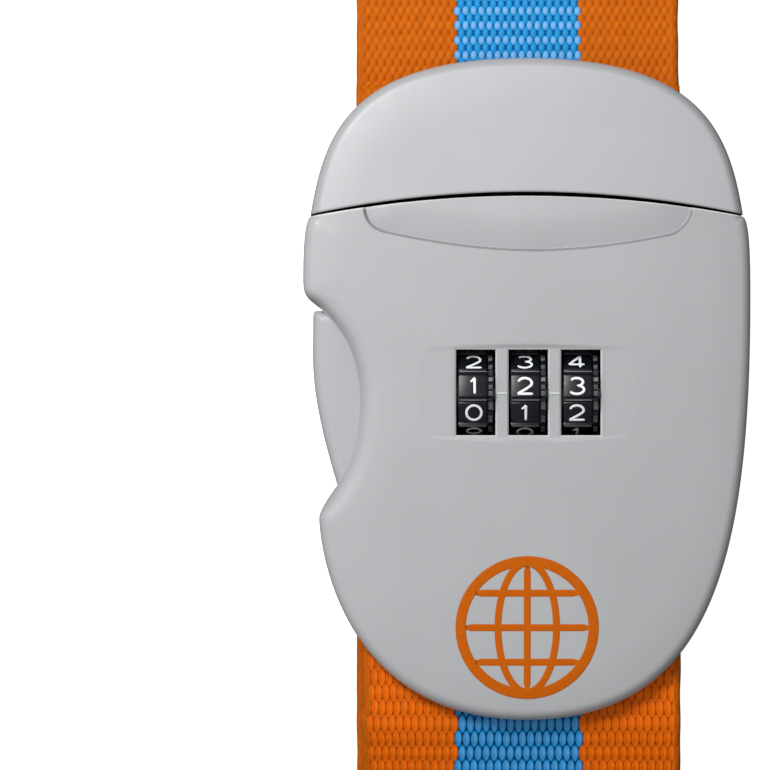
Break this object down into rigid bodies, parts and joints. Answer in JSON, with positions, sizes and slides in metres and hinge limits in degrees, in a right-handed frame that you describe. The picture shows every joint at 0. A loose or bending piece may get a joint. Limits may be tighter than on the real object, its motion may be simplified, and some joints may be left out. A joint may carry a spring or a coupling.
{
  "type": "luggage strap",
  "caption": "Woven luggage strap with a centre stripe, folded flat under its pull-apart buckle with number dials and a side release button.",
  "frame": {"origin": "centre of the strap's bounding box, on the surface it lies on", "axes": "+Z out of the buckle's face, +Y along the webbing towards the pull-out cap, +X across the webbing away from the release button"},
  "size_m": [0.0688, 0.3, 0.0272],
  "materials": {
    "shell": "satin moulded, fine grain",
    "button": "satin moulded",
    "back": "matt moulded",
    "dial": "gloss black with white digits",
    "inner": "matt dark",
    "steel": "plated",
    "brass": "machined",
    "webbing": "woven, with a blue centre stripe",
    "keeper": "moulded black rubber"
  },
  "bodies": {
    "housing": {"front_cover": "shell", "back_cover": "back", "housing_screw_1": "steel", "housing_screw_2": "steel", "housing_screw_3": "steel", "housing_screw_4": "steel", "dial_carrier": "inner", "detent_comb": "steel", "latch_leaf": "steel", "latch_screw": "steel", "gripping_bar": "steel", "button_spring": "steel", "reset_spring": "steel", "webbing_middle": "webbing", "webbing_lower": "webbing", "tail_keeper": "keeper"},
    "tongue": {"cap_front": "shell", "cap_back": "back", "cap_screw_1": "steel", "cap_screw_2": "steel", "tongue_plate": "steel", "cap_bar": "steel", "webbing_upper": "webbing"},
    "release_button": {"release_button": "button", "toothed_shaft": "steel"},
    "dial_1": {"number_dial_1": "dial", "code_sleeve_1": "brass"},
    "dial_2": {"number_dial_2": "dial", "code_sleeve_2": "brass"},
    "dial_3": {"number_dial_3": "dial", "code_sleeve_3": "brass"},
    "reset_slide": {"reset_slide": "inner"}
  },
  "joints": [
    {"name": "tongue_slide", "type": "slide", "parent": "housing", "child": "tongue", "axis": [0, 1, 0], "range_m": [0, 0.03], "deforming": ["latch_leaf"]},
    {"name": "release_button_slide", "type": "slide", "parent": "housing", "child": "release_button", "axis": [1, 0, 0], "range_m": [0, 0.0035], "stiffness_N_per_m": 400, "deforming": ["button_spring"]},
    {"name": "dial_1_turn", "type": "hinge", "parent": "housing", "child": "dial_1", "pos_m": [-0.0079, -0.0007, 0.02008], "axis": [1, 0, 0], "continuous": true},
    {"name": "dial_2_turn", "type": "hinge", "parent": "housing", "child": "dial_2", "pos_m": [0.00015, -0.0007, 0.02008], "axis": [1, 0, 0], "continuous": true},
    {"name": "dial_3_turn", "type": "hinge", "parent": "housing", "child": "dial_3", "pos_m": [0.0082, -0.0007, 0.02008], "axis": [1, 0, 0], "continuous": true},
    {"name": "reset_slide_move", "type": "slide", "parent": "housing", "child": "reset_slide", "axis": [-1, 0, 0], "range_m": [0, 0.002], "stiffness_N_per_m": 300, "deforming": ["reset_spring"]}
  ]
}
